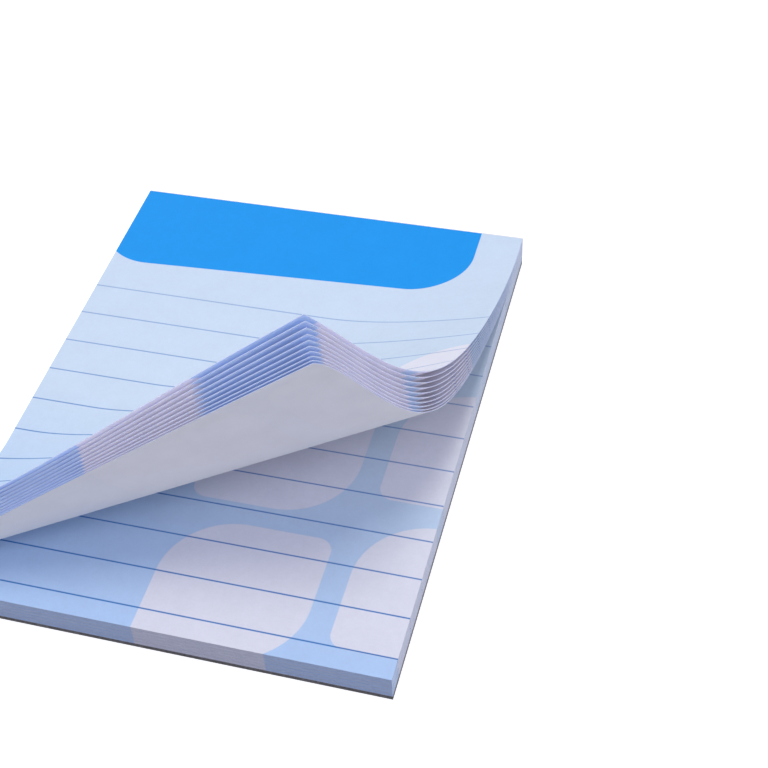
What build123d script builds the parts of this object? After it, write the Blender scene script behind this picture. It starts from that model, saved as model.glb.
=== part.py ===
# A small writing pad: printed sheets glued along the top edge over a stiff grey board,
# with the top sheets curled up from the bottom right corner and fanned apart.
from build123d import *
from math import atan2, degrees, sqrt, tan
import os

# Driving dimensions, in millimetres
pad_width = 76.2
pad_length = 101.6
sheet_thickness = 0.11
sheet_count = 50
lifted_count = 10
board_thickness = 0.75
glue_thickness = 0.25

# The curl: paper bends without stretching, so each curled sheet is part of a cone.
# The cone's apex lies in the plane of the flat sheet, beyond the bottom left corner.
# The sheet leaves the pad along the lift line, which runs from the apex to the right edge.
# Each roll holds the control values of a Bezier curve, from the lift line to the loose corner:
# how hard the sheet bends there, as the distance from the apex over the bend's radius.
top_apex_beyond_left = 80.5
top_apex_below_bottom = 41.0
top_lift_below_glue = 1.25
top_roll = (8.39, -7.63, 10.32, 6.17, -4.53)
low_apex_beyond_left = 13.6
low_apex_below_bottom = 3.1
low_lift_below_glue = 9.05
low_roll = (5.38, -6.99, 10.57, 3.44, -6.63)

# The sheets in between share out the space from the top sheet to the lowest lifted one,
# and stand further apart towards the top of the fan.
fan_ease = 1.3

# How finely a curled sheet is laid out: steps of the bend, rows and columns of points,
# and how closely its faces follow those points, as a share of the sheet's thickness
bend_steps = 24
rows = 20
columns = 8
closeness = 0.02

# Places worked out from the dimensions
left = -pad_width / 2
right = pad_width / 2
bottom = -pad_length / 2
bound_edge = pad_length / 2 - glue_thickness
block_top = board_thickness + (sheet_count - lifted_count) * sheet_thickness
pad_top = block_top + lifted_count * sheet_thickness


def make_fold(apex_beyond_left, apex_below_bottom, lift_below_glue, roll):
    """The apex, the lift line's angle and left end, and the turn to the loose corner."""
    apex = Vector(left - apex_beyond_left, bottom - apex_below_bottom)
    lift_right = Vector(right, bound_edge - lift_below_glue)
    reach = lift_right - apex
    lift_angle = atan2(reach.Y, reach.X)
    lift_left = Vector(left, apex.Y + (left - apex.X) * tan(lift_angle))
    full_turn = lift_angle - atan2(bottom - apex.Y, right - apex.X)
    return dict(
        apex=apex,
        lift_angle=lift_angle,
        lift_left=lift_left,
        lift_right=lift_right,
        full_turn=full_turn,
        along=reach.normalized(),
        roll=roll,
    )


top_fold = make_fold(top_apex_beyond_left, top_apex_below_bottom, top_lift_below_glue, top_roll)
low_fold = make_fold(low_apex_beyond_left, low_apex_below_bottom, low_lift_below_glue, low_roll)


def bend_at(share, roll):
    """How hard the sheet bends at a share of the turn from the lift line to the corner."""
    values = roll
    while len(values) > 1:
        values = [one + (other - one) * share for one, other in zip(values, values[1:])]
    return values[0]


def curled(point, fold):
    """Where a point of the flat sheet goes when the sheet curls, and which way it faces."""
    arm = point - fold["apex"]
    turn = fold["lift_angle"] - atan2(arm.Y, arm.X)
    up = Vector(0, 0, 1)
    if turn <= 0:
        return point, up
    # The line from the apex sweeps through the turn in small steps, tilting as it goes.
    ruling = fold["along"]
    facing = up
    step = turn / bend_steps
    for count in range(bend_steps):
        bend = bend_at((count + 0.5) * step / fold["full_turn"], fold["roll"])
        swing = Axis((0, 0, 0), ruling * -bend - facing)
        angle = degrees(step * sqrt(1 + bend**2))
        ruling = ruling.rotate(swing, angle)
        facing = facing.rotate(swing, angle)
    return fold["apex"] + ruling * arm.length, facing


def flat_grid(fold):
    """Points of the flat sheet, in rows from the lift line down to the bottom edge."""
    grid = []
    for row in range(rows + 1):
        down = row / rows
        row_left = fold["lift_left"] + (Vector(left, bottom) - fold["lift_left"]) * down
        row_right = fold["lift_right"] + (Vector(right, bottom) - fold["lift_right"]) * down
        grid.append([row_left + (row_right - row_left) * (n / columns) for n in range(columns + 1)])
    return grid


def curled_grid(grid, fold):
    return [[curled(point, fold) for point in row] for row in grid]


upper_grid = flat_grid(top_fold)
upper_as_top = curled_grid(upper_grid, top_fold)
upper_as_low = curled_grid(upper_grid, low_fold)
lowest_as_low = curled_grid(flat_grid(low_fold), low_fold)


def fan_share(number):
    """0 for the top sheet and 1 for the lowest lifted one, with wider steps near the top."""
    if lifted_count == 1:
        return 1
    return 1 - (1 - (number - 1) / (lifted_count - 1)) ** fan_ease


def sheet_face(number, side):
    """One face of a curled sheet: side is 1 for its top and -1 for its underside."""
    middle = pad_top - (number - 0.5) * sheet_thickness
    share = fan_share(number)
    lowest = number == lifted_count
    grid = []
    for row in range(rows + 1):
        points = []
        for n in range(columns + 1):
            low_place, low_facing = (lowest_as_low if lowest else upper_as_low)[row][n]
            top_place, top_facing = (lowest_as_low if lowest else upper_as_top)[row][n]
            place = top_place * (1 - share) + low_place * share
            facing = (top_facing * (1 - share) + low_facing * share).normalized()
            points.append(place + Vector(0, 0, middle) + facing * (side * sheet_thickness / 2))
        grid.append(points)
    face = Face.make_surface_from_array_of_points(grid, tol=sheet_thickness * closeness)
    sides = [grid[rows // 2][0], grid[rows // 2][columns], grid[rows][columns // 2]]
    return face, [min(face.edges(), key=lambda edge: edge.distance_to(side)) for side in sides]


def curled_sheet(number):
    """The faces of a curled sheet: top, underside and its three loose edges."""
    top, top_edges = sheet_face(number, 1)
    under, under_edges = sheet_face(number, -1)
    pairs = zip(top_edges, under_edges)
    return [top, under] + [Face.make_surface_from_curves(one, other) for one, other in pairs]


def flat_face(*points):
    return Face(Wire.make_polygon([Vector(*point) for point in points], close=True))


def stack_side(x, top_lift, low_lift):
    """A side of the stack: full height behind the lift lines and the flat block in front.
    It has a corner at every sheet that leaves it."""
    steps = [block_top + sheet_thickness * n for n in range(lifted_count + 1)]
    outline = [(x, bound_edge, board_thickness), (x, bottom, board_thickness), (x, bottom, block_top)]
    outline += [(x, low_lift, steps[0]), (x, low_lift, steps[1])]
    outline += [(x, top_lift, step) for step in steps[1:]]
    outline += [(x, bound_edge, pad_top)]
    return flat_face(*outline)


def make_sheets():
    """All the sheets as one solid, closed from its faces."""
    top_left, top_right = top_fold["lift_left"].Y, top_fold["lift_right"].Y
    low_left, low_right = low_fold["lift_left"].Y, low_fold["lift_right"].Y
    ledge = block_top + sheet_thickness
    faces = [
        flat_face(
            (left, bound_edge, pad_top), (right, bound_edge, pad_top),
            (right, top_right, pad_top), (left, top_left, pad_top),
        ),
        flat_face(
            (left, top_left, ledge), (right, top_right, ledge),
            (right, low_right, ledge), (left, low_left, ledge),
        ),
        flat_face(
            (left, low_left, block_top), (right, low_right, block_top),
            (right, bottom, block_top), (left, bottom, block_top),
        ),
        flat_face(
            (left, bottom, board_thickness), (right, bottom, board_thickness),
            (right, bound_edge, board_thickness), (left, bound_edge, board_thickness),
        ),
        flat_face(
            (left, bottom, board_thickness), (right, bottom, board_thickness),
            (right, bottom, block_top), (left, bottom, block_top),
        ),
        flat_face(
            (left, bound_edge, board_thickness), (right, bound_edge, board_thickness),
            (right, bound_edge, pad_top), (left, bound_edge, pad_top),
        ),
        stack_side(left, top_left, low_left),
        stack_side(right, top_right, low_right),
    ]
    for number in range(1, lifted_count + 1):
        faces += curled_sheet(number)
    return Solid(Shell(faces))


def make_board():
    """The stiff grey board under the sheets."""
    middle = Location(((left + right) / 2, (bottom + bound_edge) / 2, board_thickness / 2))
    return middle * Box(pad_width, bound_edge - bottom, board_thickness)


def make_glue():
    """The film of padding glue that binds the sheets and the board along the top edge."""
    middle = Location((0, bound_edge + glue_thickness / 2, pad_top / 2))
    return middle * Box(pad_width, glue_thickness, pad_top)


os.makedirs("parts", exist_ok=True)
export_step(make_sheets(), "parts/sheets.step")
export_step(make_board(), "parts/backing_board.step")
export_step(make_glue(), "parts/padding_glue.step")
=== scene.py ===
import random
from math import atan2, cos, radians, sin, sqrt

import bmesh
import bpy
from mathutils import Matrix, Quaternion, Vector


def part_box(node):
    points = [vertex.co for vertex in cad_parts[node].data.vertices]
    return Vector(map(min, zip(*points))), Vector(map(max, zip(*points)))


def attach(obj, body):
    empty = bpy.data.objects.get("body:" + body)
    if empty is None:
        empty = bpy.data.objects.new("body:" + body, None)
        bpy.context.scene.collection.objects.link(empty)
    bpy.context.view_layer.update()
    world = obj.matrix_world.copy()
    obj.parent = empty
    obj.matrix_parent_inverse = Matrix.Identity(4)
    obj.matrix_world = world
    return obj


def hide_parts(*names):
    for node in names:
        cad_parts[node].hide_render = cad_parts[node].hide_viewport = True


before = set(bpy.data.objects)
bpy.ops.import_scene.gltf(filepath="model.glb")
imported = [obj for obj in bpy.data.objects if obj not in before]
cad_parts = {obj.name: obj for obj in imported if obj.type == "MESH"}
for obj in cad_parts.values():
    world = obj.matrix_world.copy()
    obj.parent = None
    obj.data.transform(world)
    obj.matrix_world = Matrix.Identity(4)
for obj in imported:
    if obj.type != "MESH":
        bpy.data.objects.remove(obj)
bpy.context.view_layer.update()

random.seed(7)
print("frame loaded:", ", ".join(sorted(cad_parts)))

# The pad lies as the frame has it. The page runs from the loose bottom edge to the glued edge.
mm = 0.001
boardLow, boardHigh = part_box("backing_board")
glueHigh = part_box("padding_glue")[1]
page = dict(
    left=boardLow[0],
    right=boardHigh[0],
    bottom=boardLow[1],
    bound=boardHigh[1],
    width=boardHigh[0] - boardLow[0],
    length=boardHigh[1] - boardLow[1],
    blockFoot=boardHigh[2],
    top=glueHigh[2],
)
pageCentre = ((page["left"] + page["right"]) / 2, (page["bottom"] + page["bound"]) / 2)


def link(tree, socket, value):
    if isinstance(value, bpy.types.NodeSocket):
        tree.links.new(value, socket)
    elif value is not None:
        socket.default_value = value


def mathNode(tree, operation, *values):
    node = tree.nodes.new("ShaderNodeMath")
    node.operation = operation
    for socket, value in zip(node.inputs, values):
        link(tree, socket, value)
    return node.outputs[0]


def mixColour(tree, factor, first, second, blend="MIX"):
    node = tree.nodes.new("ShaderNodeMix")
    node.data_type = "RGBA"
    node.blend_type = blend
    link(tree, node.inputs[0], factor)
    link(tree, node.inputs[6], first)
    link(tree, node.inputs[7], second)
    return node.outputs[2]


def tinted(tree, shade, tone):
    return mixColour(tree, 1.0, shade, tone, blend="MULTIPLY")


def noiseNode(tree, place, scale, detail=3.0, roughness=0.5):
    node = tree.nodes.new("ShaderNodeTexNoise")
    link(tree, node.inputs["Vector"], place)
    node.inputs["Scale"].default_value = scale
    node.inputs["Detail"].default_value = detail
    node.inputs["Roughness"].default_value = roughness
    return node.outputs["Fac"]


def rangeNode(tree, value, fromLow, fromHigh, toLow, toHigh, smooth=False):
    node = tree.nodes.new("ShaderNodeMapRange")
    node.interpolation_type = "SMOOTHSTEP" if smooth else "LINEAR"
    for socket, given in zip(node.inputs, (value, fromLow, fromHigh, toLow, toHigh)):
        link(tree, socket, given)
    return node.outputs[0]


# nearly all of a noise texture's values lie between these two
noiseSpread = (0.3, 0.7)


def noiseRange(tree, noise, low, high):
    return rangeNode(tree, noise, *noiseSpread, low, high)


def newGroup(name, inputs, outputs):
    group = bpy.data.node_groups.new(name, "ShaderNodeTree")
    for label, kind in inputs.items():
        group.interface.new_socket(label, in_out="INPUT", socket_type=kind)
    for label, kind in outputs.items():
        group.interface.new_socket(label, in_out="OUTPUT", socket_type=kind)
    entry = group.nodes.new("NodeGroupInput")
    leave = group.nodes.new("NodeGroupOutput")
    return group, entry, leave


def useGroup(tree, group, **values):
    node = tree.nodes.new("ShaderNodeGroup")
    node.node_tree = group
    for label, value in values.items():
        link(tree, node.inputs[label], value)
    return node.outputs


numberSocket, vectorSocket, colourSocket = "NodeSocketFloat", "NodeSocketVector", "NodeSocketColor"

# the printed design, in millimetres from the page's bottom left corner
ruling = dict(
    first=3.77, pitch=7.607, count=10, halfWidth=0.125, soft=0.08,
    # the lines' strength falls from foot to head as painted sheen
    fadeFrom=10.0, fadeTo=75.0, footStrength=1.0, headStrength=0.5,
)
header = dict(left=-4.0, right=68.3, foot=80.3, head=120.0, corner=11.0, tilt=0.054, tiltFrom=10.0, soft=0.06)
petals = dict(
    left=32.5, low=-4.5, pitchX=30.5, pitchY=30.0, gap=4.2,
    stagger=0.8, rows=2, round=12.0, tight=2.6, soft=0.1,
)
inks = dict(
    skyHead=(0.615, 0.73, 0.83, 1),
    skyFoot=(0.48, 0.66, 0.90, 1),
    skyFade=45.0,
    petal=(0.80, 0.80, 0.85, 1),
    header=(0.002, 0.31, 0.80, 1),
    rule=(0.01, 0.17, 0.50, 1),
)


def makeRoundedShape():
    labels = ("x", "y", "half x", "half y", "corner", "soft")
    inputs = {label: numberSocket for label in labels}
    group, entry, leave = newGroup("roundedShape", inputs, {"mask": numberSocket})
    given = entry.outputs
    reach = []
    for place, half in (("x", "half x"), ("y", "half y")):
        inner = mathNode(group, "SUBTRACT", given[half], given["corner"])
        reach.append(mathNode(group, "SUBTRACT", mathNode(group, "ABSOLUTE", given[place]), inner))
    outside = [mathNode(group, "MAXIMUM", one, 0.0) for one in reach]
    squares = [mathNode(group, "MULTIPLY", one, one) for one in outside]
    distance = mathNode(group, "SQRT", mathNode(group, "ADD", *squares))
    inside = mathNode(group, "MINIMUM", mathNode(group, "MAXIMUM", *reach), 0.0)
    edge = mathNode(group, "SUBTRACT", mathNode(group, "ADD", distance, inside), given["corner"])
    under = mathNode(group, "MULTIPLY", given["soft"], -1.0)
    mask = rangeNode(group, edge, under, given["soft"], 1.0, 0.0, smooth=True)
    group.links.new(mask, leave.inputs["mask"])
    return group


def roundedMask(tree, shape, x, y, width, height, corner, soft):
    halves = {"half x": width / 2, "half y": height / 2}
    return useGroup(tree, shape, x=x, y=y, corner=corner, soft=soft, **halves)["mask"]


def petalMask(tree, shape, x, y):
    # staggered columns over the lower right of the page
    pitchX, pitchY = petals["pitchX"], petals["pitchY"]
    fromLeft = mathNode(tree, "SUBTRACT", x, petals["left"])
    column = mathNode(tree, "FLOOR", mathNode(tree, "DIVIDE", fromLeft, pitchX))
    odd = mathNode(tree, "MODULO", column, 2.0)
    shift = mathNode(tree, "MULTIPLY", odd, petals["stagger"] * pitchY)
    fromLow = mathNode(tree, "ADD", mathNode(tree, "SUBTRACT", y, petals["low"]), shift)
    row = mathNode(tree, "FLOOR", mathNode(tree, "DIVIDE", fromLow, pitchY))
    middleX = mathNode(tree, "MULTIPLY", mathNode(tree, "ADD", column, 0.5), pitchX)
    middleY = mathNode(tree, "MULTIPLY", mathNode(tree, "ADD", row, 0.5), pitchY)
    localX = mathNode(tree, "SUBTRACT", fromLeft, middleX)
    localY = mathNode(tree, "SUBTRACT", fromLow, middleY)
    # two corners are tight and two are round
    sameSide = mathNode(tree, "GREATER_THAN", mathNode(tree, "MULTIPLY", localX, localY), 0.0)
    corner = mathNode(tree, "MULTIPLY_ADD", sameSide, petals["tight"] - petals["round"], petals["round"])
    width, height = pitchX - petals["gap"], pitchY - petals["gap"]
    mask = roundedMask(tree, shape, localX, localY, width, height, corner, petals["soft"])
    mask = mathNode(tree, "MULTIPLY", mask, mathNode(tree, "GREATER_THAN", fromLeft, 0.0))
    rowInColumn = mathNode(tree, "SUBTRACT", row, odd)
    return mathNode(tree, "MULTIPLY", mask, mathNode(tree, "LESS_THAN", rowInColumn, petals["rows"]))


def headerMask(tree, shape, x, y):
    slope = mathNode(tree, "MULTIPLY", mathNode(tree, "SUBTRACT", x, header["tiltFrom"]), header["tilt"])
    level = mathNode(tree, "SUBTRACT", y, slope)
    localX = mathNode(tree, "SUBTRACT", x, (header["left"] + header["right"]) / 2)
    localY = mathNode(tree, "SUBTRACT", level, (header["foot"] + header["head"]) / 2)
    width, height = header["right"] - header["left"], header["head"] - header["foot"]
    return roundedMask(tree, shape, localX, localY, width, height, header["corner"], header["soft"])


def rulingMask(tree, y):
    pitch, halfWidth, soft = ruling["pitch"], ruling["halfWidth"], ruling["soft"]
    last = ruling["first"] + pitch * (ruling["count"] - 0.5)
    offset = mathNode(tree, "SUBTRACT", y, ruling["first"] - pitch / 2)
    fold = mathNode(tree, "SUBTRACT", mathNode(tree, "MODULO", offset, pitch), pitch / 2)
    away = mathNode(tree, "ABSOLUTE", fold)
    mask = rangeNode(tree, away, halfWidth - soft, halfWidth + soft, 1.0, 0.0)
    mask = mathNode(tree, "MULTIPLY", mask, mathNode(tree, "LESS_THAN", y, last))
    # the lines weaken towards the head: painted sheen, standing in for glare on the paper at a grazing angle
    paintedSheenFade = rangeNode(
        tree, y, ruling["fadeFrom"], ruling["fadeTo"], ruling["footStrength"], ruling["headStrength"],
    )
    return mathNode(tree, "MULTIPLY", mask, paintedSheenFade)


def makePagePrint(shape):
    outputs = {"colour": colourSocket, "ground": colourSocket, "ink": numberSocket}
    group, entry, leave = newGroup("pagePrint", {"page place": vectorSocket}, outputs)
    split = group.nodes.new("ShaderNodeSeparateXYZ")
    group.links.new(entry.outputs["page place"], split.inputs[0])
    x = mathNode(group, "MULTIPLY", split.outputs["X"], page["width"] / mm)
    y = mathNode(group, "MULTIPLY", split.outputs["Y"], page["length"] / mm)
    petal, band, line = petalMask(group, shape, x, y), headerMask(group, shape, x, y), rulingMask(group, y)
    upPage = rangeNode(group, y, 0.0, inks["skyFade"], 0.0, 1.0)
    sky = mixColour(group, upPage, inks["skyFoot"], inks["skyHead"])
    ground = mixColour(group, petal, sky, inks["petal"])
    shade = mixColour(group, line, ground, inks["rule"])
    shade = mixColour(group, band, shade, inks["header"])
    group.links.new(mixColour(group, band, ground, inks["header"]), leave.inputs["ground"])
    group.links.new(shade, leave.inputs["colour"])
    group.links.new(mathNode(group, "MAXIMUM", line, band), leave.inputs["ink"])
    return group


# paper's grain: faint clouds, and a tooth of fibres and fine grit
grain = dict(cloudScale=160.0, toothScale=2600.0, fibreScale=900.0, fibreShare=0.6, toothShare=0.4)


def makePaperGrain():
    outputs = {"cloud": numberSocket, "tooth": numberSocket}
    group, entry, leave = newGroup("paperGrain", {"place": vectorSocket}, outputs)
    place = entry.outputs["place"]
    cloud = noiseNode(group, place, grain["cloudScale"], detail=4.0, roughness=0.6)
    tooth = noiseNode(group, place, grain["toothScale"], detail=2.0)
    fibre = noiseNode(group, place, grain["fibreScale"], detail=5.0, roughness=0.65)
    grit = mathNode(group, "MULTIPLY", tooth, grain["toothShare"])
    group.links.new(cloud, leave.inputs["cloud"])
    group.links.new(mathNode(group, "MULTIPLY_ADD", fibre, grain["fibreShare"], grit), leave.inputs["tooth"])
    return group


pagePrint = makePagePrint(makeRoundedShape())
paperGrain = makePaperGrain()


def newMaterial(name):
    material = bpy.data.materials.new(name)
    material.use_nodes = True
    tree = material.node_tree
    return material, tree, tree.nodes["Principled BSDF"], tree.nodes.new("ShaderNodeTexCoord").outputs


def finishSurface(tree, shader, shade, height, roughness, specular, bump, relief):
    link(tree, shader.inputs["Base Color"], shade)
    link(tree, shader.inputs["Roughness"], roughness)
    shader.inputs["Specular IOR Level"].default_value = specular
    node = tree.nodes.new("ShaderNodeBump")
    node.inputs["Strength"].default_value = bump
    node.inputs["Distance"].default_value = relief
    tree.links.new(height, node.inputs["Height"])
    tree.links.new(node.outputs["Normal"], shader.inputs["Normal"])


def newPaper(name):
    material, tree, shader, coords = newMaterial(name)
    printed = useGroup(tree, pagePrint, **{"page place": coords["UV"]})
    texture = useGroup(tree, paperGrain, place=coords["Object"])
    return material, tree, shader, printed, texture


facePaper = dict(
    cloud=(0.975, 1.01), tooth=(0.97, 1.03), bareRough=0.62, inkRough=0.5,
    surface=dict(specular=0.18, bump=0.25, relief=0.02 * mm),
)


def makePrintedFace():
    material, tree, shader, printed, texture = newPaper("printed_face")
    cloud = noiseRange(tree, texture["cloud"], *facePaper["cloud"])
    tooth = noiseRange(tree, texture["tooth"], *facePaper["tooth"])
    shade = tinted(tree, printed["colour"], mathNode(tree, "MULTIPLY", cloud, tooth))
    rough = rangeNode(tree, printed["ink"], 0.0, 1.0, facePaper["bareRough"], facePaper["inkRough"])
    finishSurface(tree, shader, shade, texture["tooth"], rough, **facePaper["surface"])
    return material


# a thin sheet lets some light and print through from its printed side; on the single sheets the print mixed
# in is partly real show-through and partly stands in for light shining through, and their glow is painted
# light
backPaper = dict(
    white=(0.91, 0.89, 0.84, 1), cloud=(0.955, 1.01), scatterRadius=(0.25, 0.27, 0.40),
    surface=dict(roughness=0.75, specular=0.2, bump=0.35, relief=0.025 * mm),
    single=dict(showThrough=0.85, tint=(0.92, 0.89, 1.0, 1), scatter=0.8, glow=0.13),
    backed=dict(showThrough=0.05, tint=(1, 1, 1, 1), scatter=0.0, glow=0.0),
)


def makePaperBack(name, showThrough, tint, scatter, glow):
    material, tree, shader, printed, texture = newPaper(name)
    shade = mixColour(tree, showThrough, backPaper["white"], printed["ground"])
    shade = tinted(tree, tinted(tree, shade, tint), noiseRange(tree, texture["cloud"], *backPaper["cloud"]))
    # painted glow: the back gives off its own colour as light, standing in for light shining through the
    # sheet
    if glow:
        tree.links.new(shade, shader.inputs["Emission Color"])
        shader.inputs["Emission Strength"].default_value = glow
        material.cycles.emission_sampling = "NONE"
    shader.inputs["Subsurface Weight"].default_value = scatter
    shader.inputs["Subsurface Radius"].default_value = backPaper["scatterRadius"]
    shader.inputs["Subsurface Scale"].default_value = 1 * mm
    finishSurface(tree, shader, shade, texture["tooth"], **backPaper["surface"])
    return material


# the cut edges take up a little of the print; the foot of the stack, the edge facing the front, is toned far
# greyer than its sides as painted shade
cutPaper = dict(
    tooth=(0.93, 1.02),
    surface=dict(roughness=0.8, specular=0.15, bump=0.4, relief=0.03 * mm),
    side=dict(cutTone=(0.86, 0.90, 0.95, 1), inkBleed=0.3),
    foot=dict(cutTone=(0.48, 0.49, 0.52, 1), inkBleed=0.4),
    loose=dict(cutTone=(0.80, 0.85, 1.0, 1), inkBleed=0.15),
)


def makePaperEdge(name, cutTone, inkBleed):
    material, tree, shader, printed, texture = newPaper(name)
    shade = mixColour(tree, inkBleed, cutTone, printed["ground"])
    shade = tinted(tree, shade, noiseRange(tree, texture["tooth"], *cutPaper["tooth"]))
    finishSurface(tree, shader, shade, texture["tooth"], **cutPaper["surface"])
    return material


# greyboard toned darker than bare greyboard; part of that darkness is painted shade, standing in for the
# shadow along its front foot
board = dict(
    fleckScale=1400.0, cloudScale=120.0, cloud=(0.9, 1.05),
    stops=((0.3, (0.10, 0.092, 0.083, 1)), (0.75, (0.24, 0.225, 0.205, 1))),
    surface=dict(roughness=0.85, specular=0.2, bump=0.5, relief=0.05 * mm),
)


def makeBoard():
    material, tree, shader, coords = newMaterial("grey_board")
    flecks = noiseNode(tree, coords["Object"], board["fleckScale"], detail=4.0, roughness=0.7)
    clouds = noiseNode(tree, coords["Object"], board["cloudScale"])
    ramp = tree.nodes.new("ShaderNodeValToRGB")
    for element, (position, shade) in zip(ramp.color_ramp.elements, board["stops"]):
        element.position = position
        element.color = shade
    tree.links.new(flecks, ramp.inputs[0])
    shade = tinted(tree, ramp.outputs[0], noiseRange(tree, clouds, *board["cloud"]))
    finishSurface(tree, shader, shade, flecks, **board["surface"])
    return material


# brushed on along the edge, so it is streaked
glue = dict(
    streaks=(60.0, 300.0, 700.0), rough=(0.28, 0.45),
    dull=(0.80, 0.80, 0.78, 1), bright=(0.92, 0.92, 0.90, 1),
    surface=dict(specular=0.5, bump=0.5, relief=0.08 * mm),
)


def makeGlue():
    material, tree, shader, coords = newMaterial("padding_glue")
    stretched = tree.nodes.new("ShaderNodeMapping")
    stretched.inputs["Scale"].default_value = glue["streaks"]
    tree.links.new(coords["Object"], stretched.inputs["Vector"])
    strokes = noiseNode(tree, stretched.outputs[0], 1.0, detail=4.0, roughness=0.6)
    shade = mixColour(tree, strokes, glue["dull"], glue["bright"])
    rough = noiseRange(tree, strokes, *glue["rough"])
    finishSurface(tree, shader, shade, strokes, rough, **glue["surface"])
    return material


printedFace = makePrintedFace()
paperBack = makePaperBack("paper_back", **backPaper["backed"])
thinBack = makePaperBack("thin_back", **backPaper["single"])
looseEdge = makePaperEdge("loose_edge", **cutPaper["loose"])
sideEdge = makePaperEdge("side_edge", **cutPaper["side"])
shadedFootEdge = makePaperEdge("foot_edge_painted_shade", **cutPaper["foot"])

# each list runs: printed face, back, side edge, foot edge
faceIndex, backIndex, sideIndex, footIndex = range(4)
stackFinishes = [printedFace, paperBack, sideEdge, shadedFootEdge]
fanFinishes = [printedFace, thinBack, looseEdge, looseEdge]
lowestFinishes = [printedFace, paperBack, looseEdge, looseEdge]
print("materials made")

# The top and the lowest lifted sheet are each part of a cone, so they bend without stretching.
# The sheets between them blend the two. Sheets are drawn a little thinner than their pitch.
curl = dict(
    count=10, pitch=0.11 * mm, drawn=0.104 * mm, fanEase=1.3, across=56, along=76, steps=240,
    top=dict(
        beyondLeft=80.5 * mm, belowBottom=41.0 * mm, liftBelowGlue=1.25 * mm,
        roll=(8.35, -7.63, 10.32, 6.17, -4.53),
    ),
    low=dict(
        beyondLeft=13.6 * mm, belowBottom=3.1 * mm, liftBelowGlue=9.05 * mm,
        roll=(5.38, -6.99, 10.57, 3.44, -6.63),
    ),
)
straightUp = Vector((0, 0, 1))


def bendAt(share, roll):
    # how hard the sheet bends: a Bezier curve of the roll's values
    values = roll
    while len(values) > 1:
        values = [one + (other - one) * share for one, other in zip(values, values[1:])]
    return values[0]


def makeFold(beyondLeft, belowBottom, liftBelowGlue, roll):
    # the line from the apex sweeps from the lift line to the loose corner, tilting as it goes
    apex = Vector((page["left"] - beyondLeft, page["bottom"] - belowBottom, 0))
    reach = Vector((page["right"], page["bound"] - liftBelowGlue, 0)) - apex
    liftAngle = atan2(reach.y, reach.x)
    fullTurn = liftAngle - atan2(page["bottom"] - apex.y, page["right"] - apex.x)
    ray, facing = reach.normalized(), straightUp.copy()
    sweep = [(ray.copy(), facing.copy())]
    turn = fullTurn / curl["steps"]
    for count in range(curl["steps"]):
        bend = bendAt((count + 0.5) / curl["steps"], roll)
        swing = Quaternion(-bend * ray - facing, turn * sqrt(1 + bend**2))
        ray, facing = swing @ ray, swing @ facing
        sweep.append((ray.copy(), facing.copy()))
    return dict(apex=apex, liftAngle=liftAngle, turn=turn, sweep=sweep)


def curlPoint(x, y, fold):
    arm = Vector((x, y, 0)) - fold["apex"]
    turned = (fold["liftAngle"] - atan2(arm.y, arm.x)) / fold["turn"]
    if turned <= 0:
        return Vector((x, y, 0)), straightUp
    index = min(int(turned), curl["steps"] - 1)
    (rayA, faceA), (rayB, faceB) = fold["sweep"][index], fold["sweep"][index + 1]
    ray = rayA.lerp(rayB, turned - index).normalized()
    return fold["apex"] + ray * arm.length, faceA.lerp(faceB, turned - index).normalized()


topFold = makeFold(**curl["top"])
lowFold = makeFold(**curl["low"])


def finishIndex(normal):
    if normal.z > 0.5:
        return faceIndex
    if normal.z < -0.5:
        return backIndex
    # faces turned to the front take the foot finish, which on the stack carries the painted shade
    return footIndex if normal.y < -0.5 else sideIndex


def dressPaper(bm):
    # done while the sheets are flat, so that the print and the finishes follow them as they bend
    layer = bm.loops.layers.uv.new("pagePlace")
    bmesh.ops.recalc_face_normals(bm, faces=bm.faces[:])
    bm.normal_update()
    for face in bm.faces:
        face.material_index = finishIndex(face.normal)
        for loop in face.loops:
            x, y, _ = loop.vert.co
            loop[layer].uv = (x - page["left"]) / page["width"], (y - page["bottom"]) / page["length"]


def keepPiece(bm, name, finishes, nodes):
    mesh = bpy.data.meshes.new(name)
    bm.to_mesh(mesh)
    bm.free()
    piece = bpy.data.objects.new(name, mesh)
    bpy.context.scene.collection.objects.link(piece)
    for finish in finishes:
        mesh.materials.append(finish)
    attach(piece, "root")
    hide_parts(*nodes)


def makeCurledSheet(order):
    share = 1 - (1 - (order - 1) / (curl["count"] - 1)) ** curl["fanEase"]
    middle = page["top"] - (order - 0.5) * curl["pitch"]
    bm = bmesh.new()
    bmesh.ops.create_grid(bm, x_segments=curl["across"], y_segments=curl["along"], size=0.5)
    bmesh.ops.scale(bm, vec=(page["width"], page["length"], 1), verts=bm.verts)
    bmesh.ops.translate(bm, vec=(*pageCentre, 0), verts=bm.verts)
    bmesh.ops.solidify(bm, geom=bm.faces[:], thickness=curl["drawn"])
    halfway = sum(vert.co.z for vert in bm.verts) / len(bm.verts)
    bmesh.ops.translate(bm, vec=(0, 0, -halfway), verts=bm.verts)
    dressPaper(bm)
    for edge in bm.edges:
        edge.smooth = len({face.material_index for face in edge.link_faces}) == 1
    for face in bm.faces:
        face.smooth = face.material_index in (faceIndex, backIndex)
    for vert in bm.verts:
        topPlace, topFacing = curlPoint(vert.co.x, vert.co.y, topFold)
        lowPlace, lowFacing = curlPoint(vert.co.x, vert.co.y, lowFold)
        facing = topFacing.lerp(lowFacing, share).normalized()
        vert.co = topPlace.lerp(lowPlace, share) + facing * vert.co.z + straightUp * middle
    finishes = lowestFinishes if order == curl["count"] else fanFinishes
    keepPiece(bm, "curled_sheet_%02d" % order, finishes, ["sheets"])


for order in range(1, curl["count"] + 1):
    makeCurledSheet(order)
print("curled sheets bent:", curl["count"])

# the flat sheets under the curl, each a hair out of line with the next, as a cut stack is
block = dict(
    recess=0.05 * mm, jitter=0.02 * mm, swayKept=0.7, swayNew=0.3,
    groupEvery=7, groupFirst=3, groupRecess=0.09 * mm,
)


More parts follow.
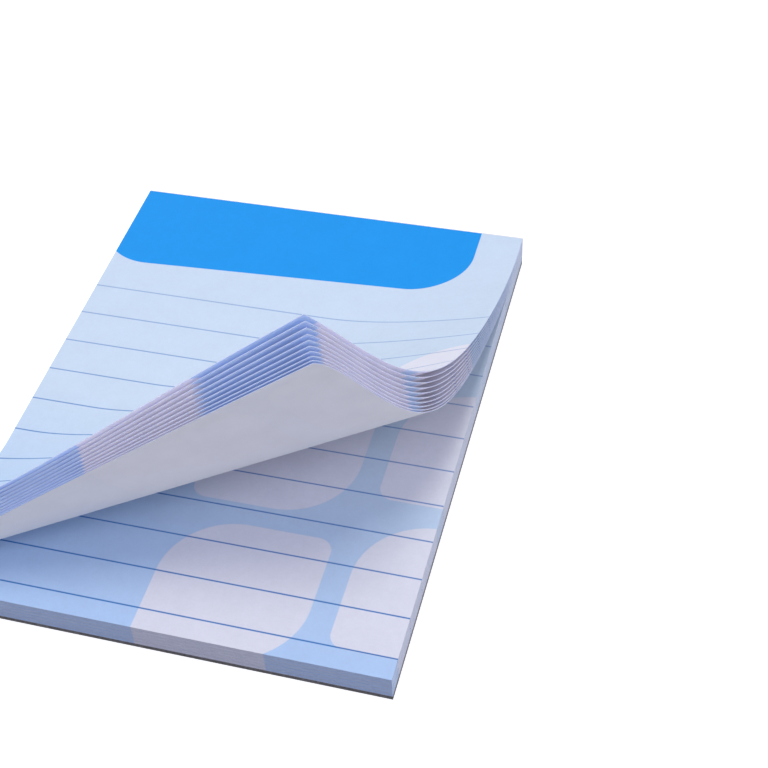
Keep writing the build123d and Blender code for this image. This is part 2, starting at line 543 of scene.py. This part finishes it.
def makeFlatSheets():
    bm = bmesh.new()
    stackTop = page["top"] - curl["count"] * curl["pitch"]
    count = round((stackTop - page["blockFoot"]) / curl["pitch"])
    centreX, centreY = pageCentre
    sway = [random.uniform(0, 1) for _ in range(4)]
    for order in range(count):
        middle = page["blockFoot"] + (order + 0.5) * curl["pitch"]
        verts = bmesh.ops.create_cube(bm, size=1)["verts"]
        bmesh.ops.scale(bm, vec=(page["width"], page["length"], curl["drawn"]), verts=verts)
        bmesh.ops.translate(bm, vec=(centreX, centreY, middle), verts=verts)
        deep = block["groupRecess"] if order % block["groupEvery"] == block["groupFirst"] else 0
        sway = [block["swayKept"] * one + block["swayNew"] * random.uniform(0, 1) for one in sway]
        for vert in verts:
            onLeft, onFoot = vert.co.x < centreX, vert.co.y < centreY
            inward = deep + block["recess"] * sway[2 * onLeft + onFoot] + random.uniform(0, block["jitter"])
            # the top sheet of the block is seen, so it keeps its full size
            if order == count - 1:
                inward = 0
            vert.co.x += inward if onLeft else -inward
            if onFoot:
                vert.co.y += inward
    dressPaper(bm)
    keepPiece(bm, "flat_sheets", stackFinishes, ["sheets"])


makeFlatSheets()
print("flat sheets stacked")


def coat(node, material):
    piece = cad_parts[node]
    piece.data.materials.clear()
    piece.data.materials.append(material)


coat("backing_board", makeBoard())
coat("padding_glue", makeGlue())
print("board and glue finished")

# The floor and the room look white to the camera, and light the pad as their plain colours do.
stage = dict(
    size=4.0, drop=0.04 * mm, roughness=0.9,
    plain=(0.60, 0.60, 0.62, 1), seen=(0.50, 0.50, 0.50, 1), glow=0.8,
)
room = dict(front=(0.19, 0.205, 0.39, 1), back=(0.56, 0.58, 0.64, 1))
white = (1, 1, 1, 1)


def mixSeen(tree, plain, seen, output):
    path = tree.nodes.new("ShaderNodeLightPath")
    isSeen = mathNode(tree, "MAXIMUM", path.outputs["Is Camera Ray"], path.outputs["Is Glossy Ray"])
    isSeen = mathNode(tree, "MAXIMUM", isSeen, path.outputs["Is Transmission Ray"])
    mix = tree.nodes.new("ShaderNodeMixShader")
    tree.links.new(isSeen, mix.inputs[0])
    tree.links.new(plain.outputs[0], mix.inputs[1])
    tree.links.new(seen.outputs[0], mix.inputs[2])
    tree.links.new(mix.outputs[0], tree.nodes[output].inputs["Surface"])


def makeFloor():
    bm = bmesh.new()
    bmesh.ops.create_grid(bm, x_segments=1, y_segments=1, size=stage["size"] / 2)
    bmesh.ops.translate(bm, vec=(0, 0, -stage["drop"]), verts=bm.verts)
    mesh = bpy.data.meshes.new("floor")
    bm.to_mesh(mesh)
    bm.free()
    floor = bpy.data.objects.new("floor", mesh)
    bpy.context.scene.collection.objects.link(floor)
    material, tree, plain, _ = newMaterial("pale_floor")
    seen = tree.nodes.new("ShaderNodeBsdfPrincipled")
    for shader, shade in ((plain, stage["plain"]), (seen, stage["seen"])):
        shader.inputs["Base Color"].default_value = shade
        shader.inputs["Roughness"].default_value = stage["roughness"]
        shader.inputs["Specular IOR Level"].default_value = 0.0
    seen.inputs["Emission Color"].default_value = white
    seen.inputs["Emission Strength"].default_value = stage["glow"]
    mixSeen(tree, plain, seen, "Material Output")
    material.cycles.emission_sampling = "NONE"
    mesh.materials.append(material)


makeFloor()


def makeWorld():
    world = bpy.data.worlds.new("softStudio")
    world.use_nodes = True
    tree = world.node_tree
    plain = tree.nodes["Background"]
    split = tree.nodes.new("ShaderNodeSeparateXYZ")
    tree.links.new(tree.nodes.new("ShaderNodeTexCoord").outputs["Generated"], split.inputs[0])
    share = rangeNode(tree, split.outputs["Y"], -1.0, 1.0, 0.0, 1.0)
    tree.links.new(mixColour(tree, share, room["front"], room["back"]), plain.inputs["Color"])
    seen = tree.nodes.new("ShaderNodeBackground")
    seen.inputs["Color"].default_value = white
    seen.inputs["Strength"].default_value = 1.0
    mixSeen(tree, plain, seen, "World Output")
    bpy.context.scene.world = world


makeWorld()

# all the lamps aim at the middle of the pad
lamps = [
    dict(name="ceilingLight", place=(-0.03, 0.03, 0.80), size=0.3, power=2.2, tint=(1.03, 1.0, 0.93)),
    dict(name="leftWindow", place=(-0.32, 0.45, 0.65), size=0.6, power=1.15, tint=(1.0, 1.0, 1.0)),
    dict(name="rightWindow", place=(0.80, -0.10, 0.35), size=0.6, power=1.15, tint=(0.90, 0.95, 1.18)),
    dict(name="frontFill", place=(-0.10, -0.45, 0.55), size=0.3, power=0.65, tint=(0.93, 0.97, 1.1)),
]


def makeLamp(name, place, size, power, tint):
    data = bpy.data.lights.new(name, "AREA")
    data.shape = "SQUARE"
    data.size = size
    data.energy = power
    data.color = tint
    lamp = bpy.data.objects.new(name, data)
    lamp.location = place
    lamp.rotation_euler = (-Vector(place)).to_track_quat("-Z", "Y").to_euler()
    bpy.context.scene.collection.objects.link(lamp)


for lamp in lamps:
    makeLamp(**lamp)

viewpoint = dict(
    azimuth=20.2, elevation=45.2, roll=-5.69, distance=278.29 * mm, target=(8.84 * mm, 10.77 * mm, 0),
    focalPixels=1537.5, centrePixel=320, imageWidth=768, sensorWidth=36, nearest=0.01,
)


def makeCamera():
    turn, rise, roll = (radians(viewpoint[key]) for key in ("azimuth", "elevation", "roll"))
    back = Vector((sin(turn) * cos(rise), -cos(turn) * cos(rise), sin(rise)))
    across = straightUp.cross(back).normalized()
    upright = back.cross(across)
    rolledX = cos(roll) * across + sin(roll) * upright
    rolledY = -sin(roll) * across + cos(roll) * upright
    imageWidth = viewpoint["imageWidth"]
    data = bpy.data.cameras.new("camera")
    data.sensor_width = viewpoint["sensorWidth"]
    data.lens = viewpoint["focalPixels"] / imageWidth * data.sensor_width
    data.shift_x = (imageWidth / 2 - viewpoint["centrePixel"]) / imageWidth
    data.clip_start = viewpoint["nearest"]
    camera = bpy.data.objects.new("camera", data)
    place = Vector(viewpoint["target"]) + back * viewpoint["distance"]
    camera.matrix_world = Matrix.Translation(place) @ Matrix((rolledX, rolledY, back)).transposed().to_4x4()
    bpy.context.scene.collection.objects.link(camera)
    bpy.context.scene.camera = camera


makeCamera()
bpy.context.scene.view_settings.view_transform = "Standard"
print("stage, lights and camera set")
